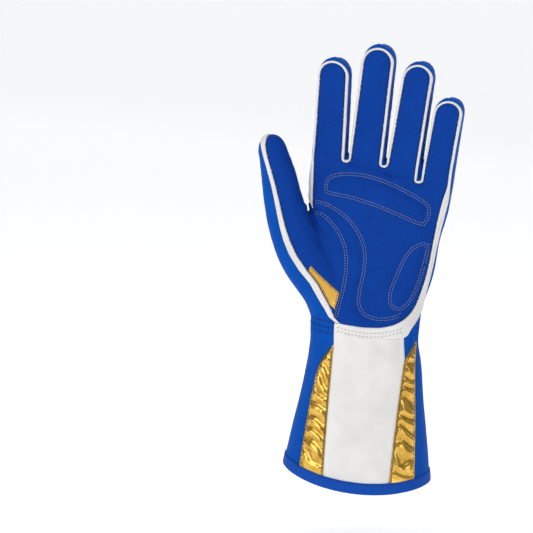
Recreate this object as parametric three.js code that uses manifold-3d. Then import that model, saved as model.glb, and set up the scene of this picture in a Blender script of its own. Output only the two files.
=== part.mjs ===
// Karting glove for a left hand, in millimetres: a flared cuff, four straight fingers and a thumb.
// The fingers point up (+Z), the palm faces -Y and the thumb is on the -X side.
// The origin is the middle of the cuff's opening, level with the lowest points of its hem.

import * as THREE from 'three';
import { mergeVertices } from 'three/addons/utils/BufferGeometryUtils.js';
import Module from 'manifold-3d';

const wasm = await Module();
wasm.setup();

// Driving dimensions
const hemWidth = 101;
const hemDepth = 72;
const hemRise = 7.6;
const bindingHeight = 7;
const bindingProud = 0.9;
const cuffHeight = 108.3;
const wristWidth = 73;
const wristDepth = 46;
const gatherDepth = 1.6;
const palmHeight = 109.5;
const palmWidth = 98.6;
const palmDepth = 31;
const handTwist = 5;
const crotchSlope = 10.5;
const crotchGap = 1.6;
const fingerDepth = 17.5;
const fingerCurl = 11;
const creaseDepth = 0.8;
const thumbReach = 55;
const thumbRise = 126.4;
const thumbWidth = 23;
const thumbDepth = 21;
const thumbForward = 10;
const wall = 1.8;
const seamGap = 0.3;
const edgeInset = 2.1;
const pipingWidth = 2.1;
const pipingProud = 0.8;
const wristBand = 5.5;
const backStripWidth = 3.2;
const padThickness = 1.5;
const fingers = [
  { name: 'index', width: 23.6, length: 67.4, root: -0.382, lean: -0.02 },
  { name: 'middle', width: 23.6, length: 84.7, root: -0.102, lean: 0.03 },
  { name: 'ring', width: 22.6, length: 80.1, root: 0.161, lean: 0.055 },
  { name: 'little', width: 20.8, length: 61.6, root: 0.388, lean: 0.09 },
];

// Facet counts
const bodySides = 20;
const fingerSides = 10;
const cornerSteps = 2;
const hemSteps = 12;

// Largest share of a side that a rounded corner takes up
const cornerLimit = 0.48;

// How far a cutting block or prism reaches past the glove
const reach = 2 * palmWidth;

// Cuff sections. height: share of cuffHeight. taper: 0 at the hem, 1 at the wrist.
// shift: sideways, share of wristWidth. gather: share of gatherDepth.
const cuffRows = [
  { height: -0.09, taper: -0.06, shift: 0, gather: 0 },
  { height: 0.27, taper: 0.29, shift: -0.004, gather: 0 },
  { height: 0.56, taper: 0.66, shift: -0.003, gather: 0 },
  { height: 0.84, taper: 0.92, shift: -0.012, gather: 0 },
  { height: 0.93, taper: 0.98, shift: -0.024, gather: 0 },
  { height: 0.96, taper: 1, shift: -0.026, gather: -1 },
  { height: 0.99, taper: 1, shift: -0.028, gather: 0 },
];

// Palm sections. height: share of palmHeight. spread: 0 at the wrist, 1 at the finger roots.
// shift: share of palmWidth. thinning: 0 wristDepth, 1 palmDepth, 2 the depth at the finger roots.
const palmRows = [
  { height: 0.02, spread: 0, shift: -0.022, thinning: 0.04, gather: -1 },
  { height: 0.05, spread: 0.02, shift: -0.022, thinning: 0.1, gather: 0 },
  { height: 0.18, spread: 0.12, shift: -0.018, thinning: 0.42, gather: 0 },
  { height: 0.36, spread: 0.4, shift: -0.006, thinning: 0.8, gather: 0 },
  { height: 0.58, spread: 0.62, shift: -0.002, thinning: 1, gather: 0 },
  { height: 0.82, spread: 0.85, shift: 0.009, thinning: 1.25, gather: 0 },
  { height: 1, spread: 1, shift: 0.015, thinning: 1.94, gather: 0 },
];

// Finger sections up to the start of the round tip. along: share of that length.
// crease: share of creaseDepth. curl: share of fingerCurl.
const fingerRows = [
  { along: -0.42, width: 0.98, depth: 0.9, crease: 0, curl: 0 },
  { along: 0, width: 1.02, depth: 0.99, crease: 0, curl: 0.01 },
  { along: 0.3, width: 1, depth: 1.01, crease: 0, curl: 0.12 },
  { along: 0.42, width: 0.99, depth: 1, crease: -1, curl: 0.22 },
  { along: 0.56, width: 0.98, depth: 1, crease: 0, curl: 0.36 },
  { along: 1, width: 0.97, depth: 0.95, crease: 0, curl: 0.86 },
];

// Thumb sections. out and up: shares of thumbReach and thumbRise. width and depth: shares of
// thumbWidth and thumbDepth. forward: share of thumbForward.
const thumbRows = [
  { out: 0, up: 0, width: 1.3, depth: 1.35, forward: 0.1 },
  { out: 0.17, up: 0.15, width: 1.46, depth: 1.5, forward: 0.2 },
  { out: 0.436, up: 0.339, width: 1.46, depth: 1.42, forward: 0.4 },
  { out: 0.625, up: 0.5, width: 1.24, depth: 1.22, forward: 0.62 },
  { out: 0.755, up: 0.636, width: 1.07, depth: 1.05, forward: 0.8 },
  { out: 0.845, up: 0.77, width: 1, depth: 1, forward: 0.92 },
  { out: 0.91, up: 0.87, width: 0.96, depth: 0.96, forward: 1 },
];

// Where the thumb leaves the wrist: shares of palmWidth from the middle and of palmHeight
const thumbRootShare = -0.225;
const thumbRootUp = 0.035;

// Round tips. rise: share of the tip's height. narrow: what is left of the width and depth there.
const tipRows = [
  { rise: 0.5, narrow: 0.88 },
  { rise: 0.85, narrow: 0.55 },
  { rise: 1, narrow: 0.15 },
];

// Height of a round tip as a share of the finger's or the thumb's width
const tipShare = 0.62;
const thumbTipShare = 0.6;

// How square the sections are: 2 is an ellipse
const cuffSquareness = 2.2;
const palmSquareness = 2.5;
const fingerSquareness = 2.9;
const thumbSquareness = 2.3;

// Share of palmHeight above which the sections tilt towards the line of the finger roots
const kneeHeight = 0.58;

// Share of the half depth at which the palm's panels and the back's panels turn into the sides
const sideShare = 0.25;

const { lerp, degToRad } = THREE.MathUtils;
const front = new THREE.Vector3(0, -1, 0);
const rootDepth = fingerDepth + 1;

// A value between the rows of a table
function between(rows, key, place, value) {
  const last = rows.length - 1;
  let i = 0;
  while (i < last - 1 && place > rows[i + 1][key]) {
    i += 1;
  }
  const share = (place - rows[i][key]) / (rows[i + 1][key] - rows[i][key]);
  return lerp(rows[i][value], rows[i + 1][value], share);
}

// Direction across the palm at a twist share, and its tilt towards the finger roots
function acrossAt(twist, tilt) {
  const turn = degToRad(handTwist * twist);
  const slope = degToRad(crotchSlope * tilt);
  return new THREE.Vector3(
    Math.cos(turn) * Math.cos(slope),
    -Math.sin(turn) * Math.cos(slope),
    -Math.sin(slope),
  );
}

function cuffSection(row) {
  return {
    at: new THREE.Vector3(row.shift * wristWidth, 0, row.height * cuffHeight),
    across: acrossAt(0, 0),
    halfWidth: lerp(hemWidth, wristWidth, row.taper) / 2 + row.gather * gatherDepth,
    halfDepth: lerp(hemDepth, wristDepth, row.taper) / 2,
    squareness: cuffSquareness,
  };
}

function palmSection(row) {
  const depth = row.thinning < 1
    ? lerp(wristDepth, palmDepth, row.thinning)
    : lerp(palmDepth, rootDepth, row.thinning - 1);
  const tilt = Math.max(0, (row.height - kneeHeight) / (1 - kneeHeight));
  return {
    at: new THREE.Vector3(row.shift * palmWidth, 0, cuffHeight + row.height * palmHeight),
    across: acrossAt(row.height, tilt),
    halfWidth: lerp(wristWidth, palmWidth, row.spread) / 2 + row.gather * gatherDepth,
    halfDepth: depth / 2,
    squareness: palmSquareness,
  };
}

const bodySections = [...cuffRows.map(cuffSection), ...palmRows.map(palmSection)];
const rootSection = bodySections[bodySections.length - 1];

// Point on the straight line through the finger roots
function rootPoint(share) {
  return rootSection.at.clone().addScaledVector(rootSection.across, share * palmWidth);
}

function fingerSections(finger) {
  const root = rootPoint(finger.root);
  const tipHeight = tipShare * finger.width;
  const straight = finger.length - tipHeight;
  const across = acrossAt(1, 0);
  const sections = fingerRows.map((row) => {
    const along = row.along * straight;
    return {
      at: root.clone().add(new THREE.Vector3(finger.lean * along, -row.curl * fingerCurl, along)),
      across,
      halfWidth: row.width * finger.width / 2,
      halfDepth: row.depth * fingerDepth / 2 + row.crease * creaseDepth,
      squareness: fingerSquareness,
    };
  });
  const [before, last] = sections.slice(-2);
  return { sections, tipHeight, lean: last.at.clone().sub(before.at).normalize() };
}

function thumbSections() {
  const root = new THREE.Vector3(
    thumbRootShare * palmWidth, 0, cuffHeight + thumbRootUp * palmHeight,
  );
  const places = thumbRows.map((row) => root.clone().add(new THREE.Vector3(
    -row.out * thumbReach, -row.forward * thumbForward, row.up * thumbRise,
  )));
  const sections = thumbRows.map((row, i) => {
    const before = places[Math.max(i - 1, 0)];
    const after = places[Math.min(i + 1, places.length - 1)];
    const along = after.clone().sub(before).normalize();
    return {
      at: places[i],
      across: new THREE.Vector3().crossVectors(front, along).negate().normalize(),
      halfWidth: row.width * thumbWidth / 2,
      halfDepth: row.depth * thumbDepth / 2,
      squareness: thumbSquareness,
      along,
    };
  });
  const tipHeight = thumbTipShare * thumbWidth;
  return { sections, tipHeight, lean: sections[sections.length - 1].along };
}

const fingerForms = fingers.map(fingerSections);
const thumbForm = thumbSections();

// A closed three.js geometry as a solid that can be joined and cut
function solid(geometry) {
  geometry.deleteAttribute('normal');
  geometry.deleteAttribute('uv');
  const merged = mergeVertices(geometry, 1e-4);
  return new wasm.Manifold(new wasm.Mesh({
    numProp: 3,
    vertProperties: Float32Array.from(merged.attributes.position.array),
    triVerts: Uint32Array.from(merged.index.array),
  }));
}

function bend(value, power) {
  return Math.sign(value) * Math.abs(value) ** power;
}

// A closed tube through sections of a superellipse, grown by an offset
function sleeve(sections, sides, offset) {
  const steps = sections.length - 1;
  const geometry = new THREE.CylinderGeometry(1, 1, 1, sides, steps);
  const place = geometry.getAttribute('position');
  const point = new THREE.Vector3();
  for (let i = 0; i < place.count; i += 1) {
    point.fromBufferAttribute(place, i);
    const section = sections[Math.round((point.y + 0.5) * steps)];
    const power = 2 / section.squareness;
    const outward = bend(point.x, power) * (section.halfWidth + offset);
    const forward = bend(point.z, power) * (section.halfDepth + offset);
    const target = section.at.clone()
      .addScaledVector(section.across, outward)
      .addScaledVector(front, forward);
    place.setXYZ(i, target.x, target.y, target.z);
  }
  return solid(geometry);
}

// Adds the round tip to a finger's or the thumb's sections, grown with them
function withTip(form, offset) {
  const last = form.sections[form.sections.length - 1];
  const tip = tipRows.map((row) => ({
    ...last,
    at: last.at.clone().addScaledVector(form.lean, row.rise * (form.tipHeight + offset)),
    halfWidth: row.narrow * (last.halfWidth + offset) - offset,
    halfDepth: row.narrow * (last.halfDepth + offset) - offset,
  }));
  return [...form.sections, ...tip];
}

function body(offset) {
  const top = { ...rootSection, at: rootSection.at.clone().add(new THREE.Vector3(0, 0, offset)) };
  return sleeve([...bodySections.slice(0, -1), top], bodySides, offset);
}

// The glove's filled shape, grown or shrunk by an offset
function filled(offset) {
  return [...fingerForms, thumbForm].reduce(
    (whole, form) => whole.add(sleeve(withTip(form, offset), fingerSides, offset)),
    body(offset),
  );
}

// A layer of the glove's wall, from one depth under the surface to another above it
function layer(deep, proud) {
  return filled(proud).subtract(filled(-deep));
}

// A block over the palm side (direction 1) or the back (direction -1) of a row of sections,
// which starts at a share of the half depth from their middle
function block(sections, direction, grown) {
  const steps = sections.length - 1;
  const geometry = new THREE.BoxGeometry(2, 1, 1, 1, steps, 1);
  const place = geometry.getAttribute('position');
  for (let i = 0; i < place.count; i += 1) {
    const section = sections[Math.round((place.getY(i) + 0.5) * steps)];
    const near = sideShare * section.halfDepth - grown;
    const forward = direction * (place.getZ(i) * direction < 0 ? near : reach);
    const target = section.at.clone()
      .addScaledVector(section.across, place.getX(i) * (section.halfWidth + edgeInset))
      .addScaledVector(front, forward);
    place.setXYZ(i, target.x, target.y, target.z);
  }
  return solid(geometry);
}

function pastTip(form) {
  const last = form.sections[form.sections.length - 1];
  const at = last.at.clone().addScaledVector(form.lean, form.tipHeight + edgeInset);
  return [...form.sections, { ...last, at }];
}

function half(direction, grown) {
  return [...fingerForms, thumbForm].reduce(
    (whole, form) => whole.add(block(pastTip(form), direction, grown)),
    block(bodySections, direction, grown),
  );
}

// Places on the glove as seen from the front, as [x, z, corner radius]
function onSections(sections, u, height, radius) {
  const last = sections.length - 1;
  let i = 0;
  while (i < last - 1 && height > sections[i + 1].at.z) {
    i += 1;
  }
  const share = (height - sections[i].at.z) / (sections[i + 1].at.z - sections[i].at.z);
  const middle = lerp(sections[i].at.x, sections[i + 1].at.x, share);
  const halfWidth = lerp(sections[i].halfWidth, sections[i + 1].halfWidth, share);
  return [middle + u * halfWidth, height, radius];
}

function onCuff(u, v, radius = 0) {
  return onSections(bodySections, u, v * cuffHeight, radius);
}

function onPalm(u, v, radius = 0) {
  return onSections(bodySections, u, cuffHeight + v * palmHeight, radius);
}

function onThumb(u, v, radius = 0) {
  const { sections } = thumbForm;
  const root = sections[0].at;
  const out = between(thumbRows, 'up', v, 'out');
  const width = between(thumbRows, 'up', Math.min(v, 1), 'width');
  const above = thumbRows.findIndex((row) => row.up >= v);
  const { across } = above < 0 ? sections[sections.length - 1] : sections[Math.max(above, 1)];
  const sideways = u * width * thumbWidth / 2;
  return [
    root.x - out * thumbReach + across.x * sideways,
    root.z + v * thumbRise + across.z * sideways,
    radius,
  ];
}

// The two upper corners of a finger's outline, and a point where it leaves the palm
function fingerTop(i, side) {
  const { sections, tipHeight, lean } = fingerForms[i];
  const last = sections[sections.length - 1];
  const x = last.at.x + lean.x * tipHeight + side * last.halfWidth;
  return [x, last.at.z + lean.z * tipHeight, last.halfWidth];
}

function fingerSide(i, side) {
  const section = fingerForms[i].sections[1];
  return section.at.x + side * section.halfWidth;
}

function fingerRoot(i, side) {
  const other = i + side;
  if (other < 0 || other >= fingers.length) {
    return [fingerSide(i, side), rootPoint(fingers[i].root).z, 0];
  }
  const crotch = (fingerSide(i, side) + fingerSide(other, -side)) / 2;
  const height = rootPoint((fingers[i].root + fingers[other].root) / 2).z;
  return [crotch - side * crotchGap / 2, height, crotchGap / 4];
}

// Outline of the four fingers from the little finger's outer side to the index finger's
function fingerOutline() {
  return [3, 2, 1, 0].flatMap((i) => [
    fingerRoot(i, 1), fingerTop(i, 1), fingerTop(i, -1), fingerRoot(i, -1),
  ]);
}

// Moves every side of an outline inwards, or outwards where the distance is negative
function inset(corners, distance) {
  const count = corners.length;
  const lines = corners.map(([x, z], i) => {
    const [nextX, nextZ] = corners[(i + 1) % count];
    const length = Math.hypot(nextX - x, nextZ - z);
    const along = [(nextX - x) / length, (nextZ - z) / length];
    return { along, start: [x - along[1] * distance, z + along[0] * distance] };
  });
  return corners.map(([, , radius], i) => {
    const before = lines[(i + count - 1) % count];
    const after = lines[i];
    const turn = before.along[0] * after.along[1] - before.along[1] * after.along[0];
    const gapX = after.start[0] - before.start[0];
    const gapZ = after.start[1] - before.start[1];
    const step = Math.abs(turn) < 1e-3
      ? gapX * before.along[0] + gapZ * before.along[1]
      : (gapX * after.along[1] - gapZ * after.along[0]) / turn;
    return [
      before.start[0] + before.along[0] * step,
      before.start[1] + before.along[1] * step,
      Math.max(radius - Math.sign(turn) * distance, 0),
    ];
  });
}

// A prism through the whole glove over an outline with rounded corners
function prism(corners) {
  const shape = new THREE.Shape();
  const count = corners.length;
  corners.forEach(([x, z, radius], i) => {
    const corner = new THREE.Vector2(x, z);
    const ends = [corners[(i + count - 1) % count], corners[(i + 1) % count]].map((other) => {
      const away = new THREE.Vector2(other[0], other[1]).sub(corner);
      const cut = Math.min(radius, away.length() * cornerLimit);
      return corner.clone().addScaledVector(away.normalize(), cut);
    });
    if (i === 0) {
      shape.moveTo(ends[0].x, ends[0].y);
    } else {
      shape.lineTo(ends[0].x, ends[0].y);
    }
    if (radius > 0) {
      shape.quadraticCurveTo(x, z, ends[1].x, ends[1].y);
    }
  });
  shape.closePath();
  const options = { depth: reach, bevelEnabled: false, curveSegments: cornerSteps };
  const geometry = new THREE.ExtrudeGeometry(shape, options);
  geometry.translate(0, 0, -reach / 2);
  geometry.rotateX(Math.PI / 2);
  return solid(geometry);
}

// Everything below the hem's curve, raised by a height
function belowHem(height) {
  const shape = new THREE.Shape();
  shape.moveTo(-hemWidth, -reach);
  shape.lineTo(hemWidth, -reach);
  shape.lineTo(hemWidth, height + 4 * hemRise);
  shape.quadraticCurveTo(0, height - 4 * hemRise, -hemWidth, height + 4 * hemRise);
  shape.closePath();
  const options = { depth: reach, bevelEnabled: false, curveSegments: hemSteps };
  const geometry = new THREE.ExtrudeGeometry(shape, options);
  geometry.translate(0, 0, -reach / 2);
  geometry.rotateX(Math.PI / 2);
  return solid(geometry);
}

// Line of the thumb's seam, from the wrist up to the thumb's tip
const thumbSeam = [
  onPalm(-0.44, -0.05), onPalm(-0.44, 0.01), onPalm(-0.64, 0.13), onThumb(-0.03, 0.2),
  onThumb(-0.14, 0.36), onThumb(-0.14, 0.5), onThumb(-0.1, 0.63), onThumb(-0.2, 0.77),
  onThumb(-0.25, 0.87), onThumb(-0.25, 1.08),
];

function shifted(line, distance) {
  return line.map(([x, z]) => [x + distance, z, 0]);
}

// Outlines of the panels, seen from the front, each counterclockwise
const thumbFrontOutline = [
  ...[...thumbSeam].reverse(),
  onPalm(-0.2, 0.01), onPalm(-0.2, 0.6), onPalm(-0.86, 0.68, 2), onThumb(1.3, 0.68, 2),
  onThumb(1.6, 0.87), onThumb(0.4, 1.12),
];
function handOutline(bottom) {
  const [left] = onPalm(-0.44, 0);
  const [right] = onPalm(0.98, 0);
  return [
    [left - edgeInset, bottom, 0], [right, bottom, 14],
    onPalm(1, 0.28, 20), onPalm(1, 0.55, 20), onPalm(1, 0.8, 20), ...fingerOutline(),
    onPalm(-1, 0.82, 10), onPalm(-0.98, 0.66, 2), onPalm(-0.6, 0.3),
  ];
}

const palmBottom = cuffHeight - edgeInset - pipingWidth;

const padOutlines = {
  knuckle_pad: [
    onPalm(0, 0.72, 10), onPalm(0.6, 0.63, 8), onPalm(0.8, 0.66, 8), onPalm(0.8, 0.8, 8),
    onPalm(0.25, 0.9, 10), onPalm(-0.42, 0.94, 8), onPalm(-0.83, 0.92, 8),
    onPalm(-0.86, 0.755, 8), onPalm(-0.45, 0.76, 10),
  ],
  thumb_pad: [
    onPalm(-0.4, 0.03, 1), onPalm(0.62, 0.03, 4), onPalm(0.62, 0.085, 2), onPalm(-0.06, 0.08, 8),
    onPalm(-0.14, 0.2, 10), onPalm(-0.04, 0.42, 20), onPalm(-0.25, 0.62, 14),
    onPalm(-0.6, 0.73, 10), onPalm(-0.93, 0.74, 1), onPalm(-0.95, 0.665, 1),
    onPalm(-0.7, 0.66, 8), onPalm(-0.48, 0.52, 12), onPalm(-0.36, 0.33, 12),
    onPalm(-0.43, 0.17, 10),
  ],
  heel_pad: [
    onPalm(0.4, 0.12, 6), onPalm(0.78, 0.11, 6), onPalm(0.82, 0.3, 10), onPalm(0.83, 0.58, 6),
    onPalm(0.56, 0.56, 8), onPalm(0.41, 0.35, 10),
  ],
};

const goldInsert = [
  onPalm(-0.54, 0.1, 1), onPalm(-0.48, 0.19, 1), onThumb(0.1, 0.31, 1), onPalm(-0.8, 0.25, 1),
];

// Right edge of the narrow strip beside the back panel
const backStrip = [
  onCuff(-0.69, 0.74), onPalm(-0.72, 0.2), onPalm(-0.74, 0.94),
];

// Outline of the white back, down to its slanting seam on the cuff
const backSeam = [
  onCuff(-0.57, 0.69), onCuff(-0.05, 0.71, 10), onCuff(0.45, 0.81, 10), onCuff(0.9, 0.98, 4),
];
const backOutline = [
  ...backSeam, onPalm(1, 0.04, 4), onPalm(1, 0.3, 20), onPalm(1, 0.55, 20),
  onPalm(1, 0.8, 20), ...fingerOutline(), onPalm(-0.95, 0.9, 4),
  ...shifted(backStrip, -edgeInset).reverse(),
];

const foilPatch = [
  onThumb(-0.76, 0.74, 1), onThumb(0.5, 0.45, 2), onThumb(0.55, 0.78, 4), onThumb(0.3, 1, 6),
  onThumb(-0.5, 0.98, 6), onThumb(-0.78, 0.88, 4),
];

const cuffOutlines = {
  cuff_foil_palm_thumb: [
    onCuff(-0.8, -0.2), onCuff(-0.47, -0.2), onCuff(-0.56, 0.88, 2), onCuff(-0.8, 0.72, 14),
    onCuff(-0.82, 0.45, 20),
  ],
  cuff_foil_palm_little: [
    onCuff(0.48, -0.2), onCuff(0.8, -0.2), onCuff(0.85, 0.5, 20), onCuff(0.92, 0.88, 4),
    onCuff(0.74, 0.79, 1), onCuff(0.6, 0.45),
  ],
  cuff_foil_back_thumb: [
    onCuff(-0.8, -0.2), onCuff(-0.47, -0.2), onCuff(-0.57, 0.73, 1), onCuff(-0.84, 0.85, 3),
    onCuff(-0.86, 0.7, 10),
  ],
  cuff_foil_back_little: [
    onCuff(0.5, -0.2), onCuff(0.78, -0.2), onCuff(0.88, 0.78, 10), onCuff(0.9, 0.93, 1),
    onCuff(0.7, 0.76, 2),
  ],
};
const cuffPalmOutline = [
  onCuff(-0.47, -0.2), onCuff(0.48, -0.2), onCuff(0.6, 0.45), onCuff(0.74, 0.79),
  onCuff(0.75, 1), onCuff(-0.56, 1), onCuff(-0.56, 0.88),
];
const cuffBackOutline = [
  onCuff(-0.47, -0.2), onCuff(0.5, -0.2), onCuff(0.7, 0.76), onCuff(0.88, 0.97),
  onCuff(-0.66, 1), onCuff(-0.66, 0.73),
];

// Side walls, cut from what the panels leave
function fingerLine(i) {
  const { sections, tipHeight, lean } = fingerForms[i];
  const last = sections[sections.length - 1];
  const x = last.at.x + lean.x * tipHeight;
  const root = sections[1].at;
  return [[x, last.at.z + 2 * tipHeight, 0], [root.x, root.z - fingerDepth / 2, 0]];
}

function wallBetween(i) {
  const [leftTop, leftBottom] = fingerLine(i);
  const [rightTop, rightBottom] = fingerLine(i + 1);
  return [leftBottom, rightBottom, rightTop, leftTop];
}

const [indexTop, indexBottom] = fingerLine(0);
const [littleTop, littleBottom] = fingerLine(fingers.length - 1);
const webOutline = [
  onPalm(-0.9, 0.1), onPalm(-0.6, 0.1), indexBottom, indexTop,
  [onThumb(0, 1.2)[0], indexTop[1], 0], onThumb(-0.1, 1.2), onThumb(-0.1, 0.9), onThumb(0.2, 0.5),
  onPalm(-0.93, 0.3),
];
const aboveWeb = [
  onPalm(-4, 0.66), onPalm(0, 0.66), onPalm(0, 2), onPalm(-4, 2),
];
const littleSideOutline = [
  onCuff(0, -0.2), onCuff(2, -0.2), [onCuff(2, 0)[0], littleTop[1], 0], littleTop, littleBottom,
];
const thumbSideOutline = [
  onCuff(0, -0.2), onPalm(0, 1.2), onThumb(0, 1.3), onThumb(-4, 1.3), onCuff(-2.5, -0.2),
];

const white = { color: 0xebe9e6, roughness: 0.55, metalness: 0 };
const blue = { color: 0x0d4bc8, roughness: 0.6, metalness: 0 };
const suede = { color: 0x133f9e, roughness: 0.9, metalness: 0 };
const foil = { color: 0xc99a2e, roughness: 0.3, metalness: 0.9 };
const gold = { color: 0xd79b32, roughness: 0.5, metalness: 0.4 };

const glove = new THREE.Group();

function addPiece(name, piece, finish) {
  const cut = piece.getMesh();
  const geometry = new THREE.BufferGeometry();
  geometry.setAttribute('position', new THREE.BufferAttribute(cut.vertProperties, 3));
  geometry.setIndex(new THREE.BufferAttribute(cut.triVerts, 1));
  geometry.computeVertexNormals();
  const mesh = new THREE.Mesh(geometry, new THREE.MeshStandardMaterial(finish));
  mesh.name = name;
  glove.add(mesh);
}

const hemZone = belowHem(bindingHeight + seamGap);
const flush = layer(wall, 0).subtract(hemZone);
const raised = layer(wall, pipingProud).subtract(hemZone);
const sides = {
  palm: { exact: half(1, 0), grown: half(1, seamGap), taken: [] },
  back: { exact: half(-1, 0), grown: half(-1, seamGap), taken: [] },
};
let rest = flush;

// Cuts a panel from the wall, and leaves a seam gap round it in what is left of the wall
function addPanel(name, side, outlines, finish, source = flush) {
  const { exact, grown, taken } = sides[side];
  const region = outlines.map(prism).reduce((all, one) => all.add(one));
  const cut = taken.reduce((left, one) => left.subtract(one), region);
  addPiece(name, source.intersect(cut).intersect(exact), finish);
  const opening = outlines.map((outline) => prism(inset(outline, -seamGap)))
    .reduce((all, one) => all.add(one));
  taken.push(opening);
  rest = rest.subtract(opening.intersect(grown));
}

// Cuts a side wall from what the panels have left
function addSide(name, outline, within) {
  const region = within ? prism(outline).intersect(within) : prism(outline);
  addPiece(name, rest.intersect(region), blue);
  const opening = prism(inset(outline, -seamGap));
  rest = rest.subtract(within ? opening.intersect(within) : opening);
}

const pipingOutline = inset(handOutline(palmBottom - wristBand + pipingWidth), edgeInset);
addPanel('palm_gold_insert', 'palm', [goldInsert], gold);
const palmOutlines = [
  inset(handOutline(palmBottom), edgeInset + pipingWidth), thumbFrontOutline,
];
addPanel('palm_panel', 'palm', palmOutlines, suede);
addPanel('thumb_edge_piping', 'palm', [[
  ...shifted(thumbSeam, -seamGap), ...shifted(thumbSeam, -seamGap - pipingWidth).reverse(),
]], white, raised);
addPanel('palm_edge_piping', 'palm', [pipingOutline], white, raised);
['cuff_foil_palm_thumb', 'cuff_foil_palm_little'].forEach((name) => {
  addPanel(name, 'palm', [cuffOutlines[name]], foil);
});
addPanel('cuff_palm_panel', 'palm', [cuffPalmOutline], white);

addPanel('back_edge_strip', 'back', [[
  ...backStrip, ...shifted(backStrip, -backStripWidth).reverse(),
]], white);
addPanel('back_panel', 'back', [inset(backOutline, edgeInset)], white);
addPanel('thumb_foil_patch', 'back', [foilPatch], foil);
['cuff_foil_back_thumb', 'cuff_foil_back_little'].forEach((name) => {
  addPanel(name, 'back', [cuffOutlines[name]], foil);
});
addPanel('cuff_back_panel', 'back', [cuffBackOutline], white);

addSide('fourchette_index_middle', wallBetween(0));
addSide('fourchette_middle_ring', wallBetween(1));
addSide('fourchette_ring_little', wallBetween(2));
addSide('web_gusset', webOutline, sides.back.exact.add(prism(aboveWeb)));
addSide('hand_side_little', littleSideOutline);
addSide('hand_side_thumb', thumbSideOutline);

const padField = palmOutlines.map((outline) => prism(inset(outline, seamGap)))
  .reduce((all, one) => all.add(one))
  .intersect(sides.palm.exact);
const padLayer = layer(-seamGap, seamGap + padThickness).intersect(padField);
Object.entries(padOutlines).forEach(([name, outline]) => {
  addPiece(name, padLayer.intersect(prism(outline)), suede);
});

const binding = layer(wall + bindingProud, bindingProud)
  .intersect(belowHem(bindingHeight)).subtract(belowHem(0));
addPiece('hem_binding', binding, blue);

export default glove;
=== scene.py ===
# Karting glove for a left hand: box-sided fingers, padded suede palm, white back and gold foil strips.
# Forms are worked out in millimetres, with the fingers up (+Z), the palm towards -Y and the thumb on -X.
# Each finished piece is written in metres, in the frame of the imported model.

import math
from collections import Counter, namedtuple

import bmesh
import bpy
import numpy as np
from mathutils import Matrix, Vector, noise
from mathutils.bvhtree import BVHTree
from mathutils.kdtree import KDTree


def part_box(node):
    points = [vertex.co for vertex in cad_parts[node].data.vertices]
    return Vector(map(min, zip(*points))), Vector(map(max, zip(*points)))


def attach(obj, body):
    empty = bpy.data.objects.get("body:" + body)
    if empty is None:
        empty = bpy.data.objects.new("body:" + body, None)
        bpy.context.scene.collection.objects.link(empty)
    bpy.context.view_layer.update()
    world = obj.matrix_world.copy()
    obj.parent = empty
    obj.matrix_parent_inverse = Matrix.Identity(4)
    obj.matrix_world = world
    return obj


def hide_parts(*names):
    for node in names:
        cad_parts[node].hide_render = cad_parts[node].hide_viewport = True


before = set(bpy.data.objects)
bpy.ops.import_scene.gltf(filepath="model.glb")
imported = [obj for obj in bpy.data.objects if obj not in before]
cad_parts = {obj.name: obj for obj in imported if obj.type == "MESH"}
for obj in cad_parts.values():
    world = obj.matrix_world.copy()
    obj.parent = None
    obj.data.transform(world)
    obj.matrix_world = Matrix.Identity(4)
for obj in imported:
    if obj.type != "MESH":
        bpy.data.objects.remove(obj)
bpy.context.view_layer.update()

METRE = 0.001
FOLD_SEED = 5
noise.seed_set(FOLD_SEED)

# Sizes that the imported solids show, in millimetres
hem_low, hem_high = (Vector(corner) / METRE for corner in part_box("hem_binding"))
BINDING_PROUD = 0.9
HEM_FLARE = 4.9
HEM_WIDTH = hem_high.x - hem_low.x - 2 * BINDING_PROUD + HEM_FLARE
HEM_DEPTH = hem_high.y - hem_low.y - 2 * BINDING_PROUD
CUFF_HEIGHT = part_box("cuff_palm_panel")[1][2] / METRE

# Sizes that follow the same hand as the solids
HEM_RISE = 7.6
HEM_TILT = 1.6
BINDING_HEIGHT = 8.0
WRIST_WIDTH = 73.0
WRIST_DEPTH = 46.0
PALM_HEIGHT = 109.5
PALM_WIDTH = 98.6
PALM_DEPTH = 31.0
HAND_TWIST = 5.0
CROTCH_SLOPE = 10.5
FINGER_DEPTH = 16.6
FINGER_TWIST = 9.5
FINGER_CURL = 11.0
THUMB_REACH = 55.0
THUMB_RISE = 126.4
THUMB_WIDTH = 23.0
THUMB_DEPTH = 21.0
THUMB_FORWARD = 10.0
WALL = 1.3
SKIN_STEP = 0.85
PIPING_WIDTH = 1.5
EDGE_INSET = 0.7
ROW_GAP = 1.7
STITCH_STEP = 1.8
STITCH_LENGTH = 1.35
STITCH_WIDTH = 0.44
LONG_STEP = 2.5
ROW_INSET = 0.5
TAPE_INSIDE = 2.9
TAPE_FOLD = 1.4
SHELL_END = 3.5

# Fingers: width, length, root as a share of the palm's width, sideways lean
FINGERS = (
    (22.8, 66.7, -0.376, -0.008),
    (23.4, 82.8, -0.11, 0.04),
    (22.5, 78.7, 0.148, 0.075),
    (21.0, 61.0, 0.386, 0.085),
)
TIP_SHARE = 0.62
TIP_DROP = 1.5
CROTCH_HEIGHTS = (222.6, 221.7, 213.5)
CROTCH_WEB = 0.8
WEB_RISE = 3.0
THUMB_TIP_SHARE = 0.6

# Cuff: height as a share of the cuff, taper from hem 0 to wrist 1, shift as a share of the wrist
CUFF_ROWS = (
    (-0.09, -0.06, 0.012),
    (0.27, 0.27, 0.003),
    (0.56, 0.62, 0.001),
    (0.84, 0.89, -0.01),
    (0.93, 0.985, -0.024),
)

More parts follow.
